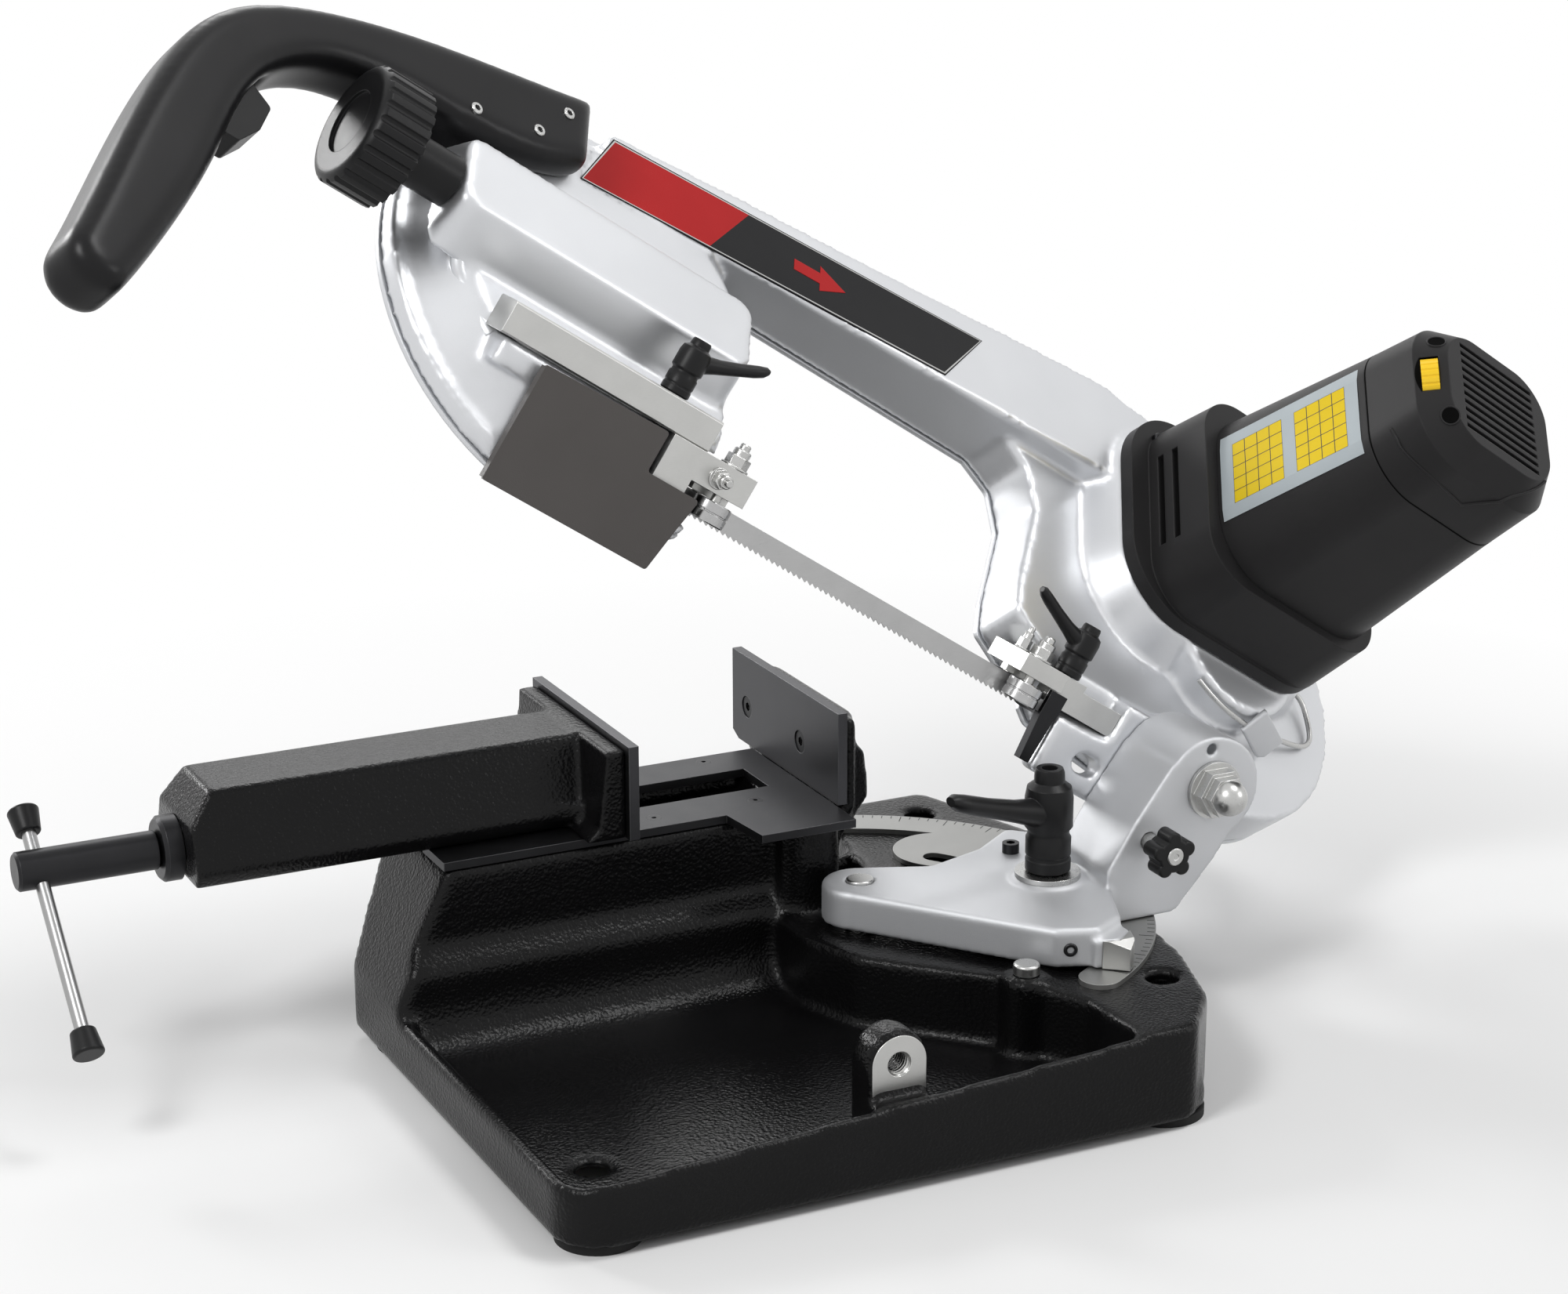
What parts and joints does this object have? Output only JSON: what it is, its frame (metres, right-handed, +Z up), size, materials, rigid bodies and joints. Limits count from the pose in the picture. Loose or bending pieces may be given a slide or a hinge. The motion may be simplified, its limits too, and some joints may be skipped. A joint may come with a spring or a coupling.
{
  "type": "metal cutting band saw",
  "caption": "Bench band saw for metal: tilted bow with toothed blade loop, geared motor and trigger handle on a swivelling hinge arm over a base with table, screw vice and chip tray.",
  "frame": {"origin": "on the bench, under the middle of the bounding box of the saw with its head raised and vice open", "axes": "+X along the vice towards the head's pivot, +Y away from the operator, +Z up"},
  "size_m": [0.8873, 0.391, 0.5964],
  "materials": {
    "base_paint": "black textured paint on cast aluminium",
    "foot_rubber": "matte black",
    "table_steel": "blackened, ground on top",
    "jaw_steel": "hardened, dark",
    "bright_steel": "zinc plated",
    "black_steel": "blackened",
    "silver_casting": "silver paint, slightly grained",
    "cover_sheet": "silver paint",
    "machined_alloy": "machined",
    "motor_plastic": "fine grained black",
    "lever_plastic": "moulded black",
    "dial_plastic": "yellow",
    "guard_sheet": "dark grey paint",
    "blade_steel": "bright, satin",
    "spring_steel": "oiled"
  },
  "bodies": {
    "base": {"base_casting": "base_paint", "rubber_feet": "foot_rubber", "table_plate": "table_steel", "table_screws": "bright_steel", "fixed_jaw_plate": "jaw_steel", "fixed_jaw_screws": "bright_steel", "vice_nut": "bright_steel", "scale_plate": "bright_steel", "stop_screw": "bright_steel", "swivel_bolt": "bright_steel"},
    "sliding_jaw": {"vice_slide": "base_paint", "moving_jaw_plate": "jaw_steel", "moving_jaw_screws": "bright_steel"},
    "vice_screw": {"vice_screw": "black_steel", "thrust_collar": "black_steel"},
    "tommy_bar": {"tommy_bar": "bright_steel", "tommy_caps": "lever_plastic"},
    "arm": {"swivel_arm": "silver_casting", "arm_screws": "black_steel", "scale_pointer": "machined_alloy", "arm_clamp_stud": "bright_steel", "return_spring": "spring_steel"},
    "clamp_lever": {"arm_clamp_lever": "lever_plastic"},
    "plunger": {"lock_plunger": "bright_steel", "lock_knob": "lever_plastic"},
    "head": {"bow_casting": "silver_casting", "rear_cover": "cover_sheet", "saw_blade": "blade_steel", "gearbox_housing": "motor_plastic", "motor_housing": "motor_plastic", "motor_end_cap": "motor_plastic", "handle_front_shell": "motor_plastic", "handle_rear_shell": "motor_plastic", "pivot_pin": "bright_steel", "pivot_nuts": "bright_steel"},
    "drive_wheel": {"drive_wheel": "machined_alloy", "drive_shaft": "bright_steel", "drive_gear": "spring_steel"},
    "motor_rotor": {"motor_pinion": "spring_steel"},
    "carriage": {"tension_carriage": "machined_alloy", "idler_axle": "bright_steel"},
    "idler_wheel": {"idler_wheel": "machined_alloy", "idler_bearings": "spring_steel"},
    "tension_knob": {"tension_screw": "bright_steel", "tension_knob": "lever_plastic"},
    "trigger": {"trigger": "lever_plastic"},
    "speed_dial": {"speed_dial": "dial_plastic"},
    "left_guide": {"left_guide_bar": "machined_alloy", "left_guide_block": "machined_alloy", "blade_guard": "guard_sheet"},
    "left_lever": {"left_clamp_lever": "lever_plastic"},
    "left_front_roller": {"left_front_roller": "spring_steel"},
    "left_rear_roller": {"left_rear_roller": "spring_steel"},
    "right_guide": {"right_guide_bar": "machined_alloy", "chip_scraper": "black_steel"},
    "right_lever": {"right_clamp_lever": "lever_plastic"},
    "right_front_roller": {"right_front_roller": "spring_steel"},
    "right_rear_roller": {"right_rear_roller": "spring_steel"}
  },
  "joints": [
    {"name": "jaw_slide", "type": "slide", "parent": "base", "child": "sliding_jaw", "axis": [1, 0, 0], "range_m": [0, 0.1244]},
    {"name": "vice_screw_turn", "type": "hinge", "parent": "sliding_jaw", "child": "vice_screw", "pos_m": [-0.3515, 0.1155, 0.136], "axis": [1, 0, 0], "range_deg": [0, 7480]},
    {"name": "tommy_bar_slide", "type": "slide", "parent": "vice_screw", "child": "tommy_bar", "axis": [0, 0.7455, 0.6665], "range_m": [-0.0105, 0.087]},
    {"name": "arm_swivel", "type": "hinge", "parent": "base", "child": "arm", "pos_m": [0.0205, 0.0165, 0.0635], "axis": [0, 0, 1], "range_deg": [0, 60]},
    {"name": "arm_clamp", "type": "hinge", "parent": "arm", "child": "clamp_lever", "pos_m": [0.11862, -0.02863, 0.106], "axis": [0, 0, 1], "range_deg": [-30, 60]},
    {"name": "lock_pin", "type": "slide", "parent": "arm", "child": "plunger", "axis": [0, 1, 0], "range_m": [0, 0.01]},
    {"name": "head_pivot", "type": "hinge", "parent": "arm", "child": "head", "pos_m": [0.2105, -0.0305, 0.135], "axis": [0, 1, 0], "range_deg": [-33.5, 0], "stiffness_Nm_per_rad": 29.7, "springref_deg": 26.36},
    {"name": "drive_spin", "type": "hinge", "parent": "head", "child": "drive_wheel", "pos_m": [0.28559, 0.06458, 0.1683], "axis": [0.3923, -0.7071, 0.5883], "continuous": true},
    {"name": "motor_spin", "type": "hinge", "parent": "head", "child": "motor_rotor", "pos_m": [0.31464, 0.07236, 0.22627], "axis": [0.3923, -0.7071, 0.5883], "continuous": true},
    {"name": "tension_slide", "type": "slide", "parent": "head", "child": "carriage", "axis": [0.832, 0, -0.5548], "range_m": [0, 0.0078]},
    {"name": "idler_spin", "type": "hinge", "parent": "carriage", "child": "idler_wheel", "pos_m": [-0.11493, 0.07873, 0.41842], "axis": [0.3923, -0.7071, 0.5883], "continuous": true},
    {"name": "tension_turn", "type": "hinge", "parent": "head", "child": "tension_knob", "pos_m": [-0.25664, 0.05256, 0.53757], "axis": [0.832, 0, -0.5548], "range_deg": [0, 1420]},
    {"name": "trigger_pull", "type": "hinge", "parent": "head", "child": "trigger", "pos_m": [-0.32223, 0.05468, 0.56177], "axis": [0.3923, -0.7071, 0.5883], "range_deg": [-9, 0], "stiffness_Nm_per_rad": 0.6, "springref_deg": 14.32},
    {"name": "speed_turn", "type": "hinge", "parent": "head", "child": "speed_dial", "pos_m": [0.35271, -0.0528, 0.35472], "axis": [0.8133, -0.5655, 0.1373], "range_deg": [-135, 135]},
    {"name": "left_guide_slide", "type": "slide", "parent": "head", "child": "left_guide", "axis": [0.832, 0, -0.5548], "range_m": [0, 0.07]},
    {"name": "left_clamp", "type": "hinge", "parent": "head", "child": "left_lever", "pos_m": [-0.09426, 0.0095, 0.38994], "axis": [0.5548, 0, 0.832], "range_deg": [-80, 15]},
    {"name": "right_guide_slide", "type": "slide", "parent": "head", "child": "right_guide", "axis": [0.832, 0, -0.5548], "range_m": [-0.006, 0]},
    {"name": "right_clamp", "type": "hinge", "parent": "right_guide", "child": "right_lever", "pos_m": [0.15338, 0.007, 0.20074], "axis": [0.5548, 0, 0.832], "range_deg": [-15, 80]},
    {"name": "left_front_roller_spin", "type": "hinge", "parent": "left_guide", "child": "left_front_roller", "pos_m": [-0.07819, 0.0049, 0.32032], "axis": [0.5548, 0, 0.832], "continuous": true},
    {"name": "left_rear_roller_spin", "type": "hinge", "parent": "left_guide", "child": "left_rear_roller", "pos_m": [-0.07819, 0.0281, 0.32032], "axis": [0.5548, 0, 0.832], "continuous": true},
    {"name": "right_front_roller_spin", "type": "hinge", "parent": "right_guide", "child": "right_front_roller", "pos_m": [0.11898, 0.0049, 0.18882], "axis": [0.5548, 0, 0.832], "continuous": true},
    {"name": "right_rear_roller_spin", "type": "hinge", "parent": "right_guide", "child": "right_rear_roller", "pos_m": [0.11898, 0.0281, 0.18882], "axis": [0.5548, 0, 0.832], "continuous": true}
  ],
  "couplings": [
    {"joint": "vice_screw_turn", "follows": "jaw_slide", "rad_per_m": 1047.2},
    {"joint": "motor_spin", "follows": "drive_spin", "ratio": -3.5324},
    {"joint": "idler_spin", "follows": "drive_spin", "ratio": 1},
    {"joint": "tension_turn", "follows": "tension_slide", "rad_per_m": 3141.6},
    {"joint": "left_front_roller_spin", "follows": "drive_spin", "ratio": -8},
    {"joint": "left_rear_roller_spin", "follows": "drive_spin", "ratio": 8},
    {"joint": "right_front_roller_spin", "follows": "drive_spin", "ratio": -8},
    {"joint": "right_rear_roller_spin", "follows": "drive_spin", "ratio": 8}
  ]
}
